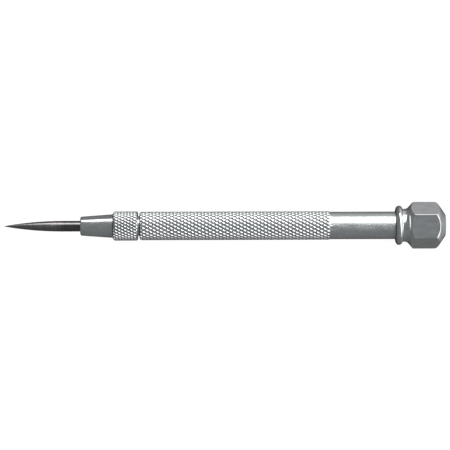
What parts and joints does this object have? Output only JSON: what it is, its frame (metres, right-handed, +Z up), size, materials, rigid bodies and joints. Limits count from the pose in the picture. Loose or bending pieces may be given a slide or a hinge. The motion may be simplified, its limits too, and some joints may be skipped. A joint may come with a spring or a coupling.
{
  "type": "pocket scriber",
  "caption": "Pocket scriber with a tapered hardened point in a collet chuck, a diamond-knurled round handle and a hexagonal head that stops it rolling.",
  "frame": {"origin": "on the surface the tool lies on, halfway along it, under its axis", "axes": "X along the tool, the point towards -X and the head towards +X; +Z up; the tool lies on one flat of its head"},
  "size_m": [0.1016, 0.0108, 0.0094],
  "materials": {
    "satin_nickel": "satin nickel plating on turned steel",
    "hardened_steel": "hardened and ground, dark and semi-polished",
    "spring_steel": "tempered, smooth"
  },
  "bodies": {
    "handle": {"handle_barrel": "satin_nickel", "hex_head": "satin_nickel"},
    "collet": {"collet_sleeve": "spring_steel"},
    "jaw_1": {"collet_jaw_1": "spring_steel"},
    "jaw_2": {"collet_jaw_2": "spring_steel"},
    "jaw_3": {"collet_jaw_3": "spring_steel"},
    "jaw_4": {"collet_jaw_4": "spring_steel"},
    "nut": {"chuck_nut": "satin_nickel"},
    "point": {"scriber_point": "hardened_steel"}
  },
  "joints": [
    {"name": "collet_travel", "type": "slide", "parent": "handle", "child": "collet", "axis": [-1, 0, 0], "range_m": [0, 0.00475]},
    {"name": "nut_turn", "type": "hinge", "parent": "collet", "child": "nut", "pos_m": [-0.02, 0, 0.0047], "axis": [-1, 0, 0], "range_deg": [0, 3421]},
    {"name": "jaw_1_flex", "type": "hinge", "parent": "collet", "child": "jaw_1", "pos_m": [-0.0198, 0, 0.00614], "axis": [0, 1, 0], "range_deg": [0, 1.25]},
    {"name": "jaw_2_flex", "type": "hinge", "parent": "collet", "child": "jaw_2", "pos_m": [-0.0198, -0.00144, 0.0047], "axis": [0, 0, 1], "range_deg": [0, 1.25]},
    {"name": "jaw_3_flex", "type": "hinge", "parent": "collet", "child": "jaw_3", "pos_m": [-0.0198, 0, 0.00326], "axis": [0, -1, 0], "range_deg": [0, 1.25]},
    {"name": "jaw_4_flex", "type": "hinge", "parent": "collet", "child": "jaw_4", "pos_m": [-0.0198, 0.00144, 0.0047], "axis": [0, 0, -1], "range_deg": [0, 1.25]},
    {"name": "point_slide", "type": "slide", "parent": "handle", "child": "point", "axis": [-1, 0, 0], "range_m": [-0.0175, 0.03]}
  ],
  "couplings": [
    {"joint": "nut_turn", "follows": "collet_travel", "rad_per_m": 12566},
    {"joint": "jaw_1_flex", "follows": "collet_travel", "rad_per_m": 4.409},
    {"joint": "jaw_2_flex", "follows": "collet_travel", "rad_per_m": 4.409},
    {"joint": "jaw_3_flex", "follows": "collet_travel", "rad_per_m": 4.409},
    {"joint": "jaw_4_flex", "follows": "collet_travel", "rad_per_m": 4.409}
  ]
}
